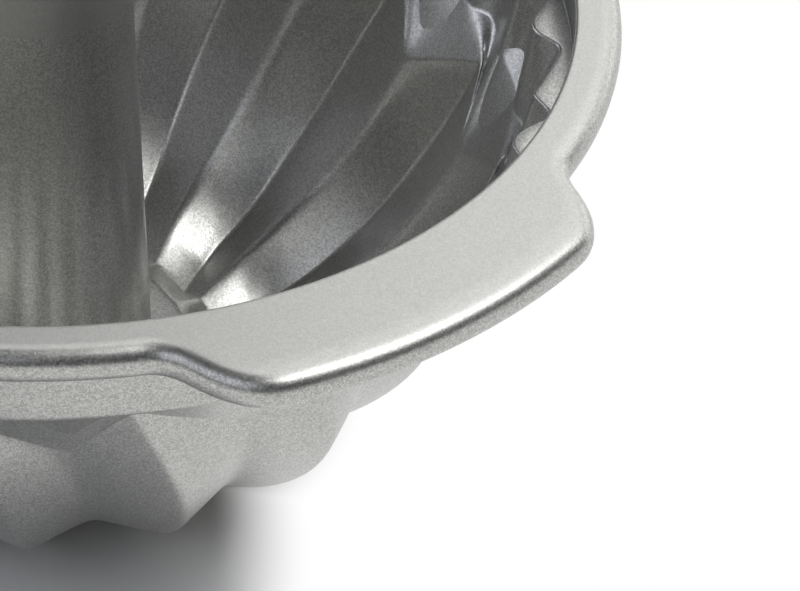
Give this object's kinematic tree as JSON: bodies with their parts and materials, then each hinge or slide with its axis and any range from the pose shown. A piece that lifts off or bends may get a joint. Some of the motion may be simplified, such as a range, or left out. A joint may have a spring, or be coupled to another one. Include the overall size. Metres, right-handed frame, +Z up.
{
  "type": "fluted tube pan",
  "caption": "Round metal tube pan for ring cakes, with swirled flutes, a plain collar, a flat rim with a rolled edge and two tab handles.",
  "frame": {"origin": "on the table, below the middle of the pan", "axes": "+Z up along the centre tube, X through the two handles"},
  "size_m": [0.295, 0.262, 0.1265],
  "materials": {
    "fluted_shell": "satin silver-grey nonstick coating with a fine sparkle",
    "centre_tube": "satin silver-grey nonstick coating with a fine sparkle",
    "rim_wire": "plain drawn steel wire, out of sight in the rolled edge"
  },
  "bodies": {
    "root": {"fluted_shell": "fluted_shell", "centre_tube": "centre_tube", "rim_wire": "rim_wire"}
  },
  "joints": []
}
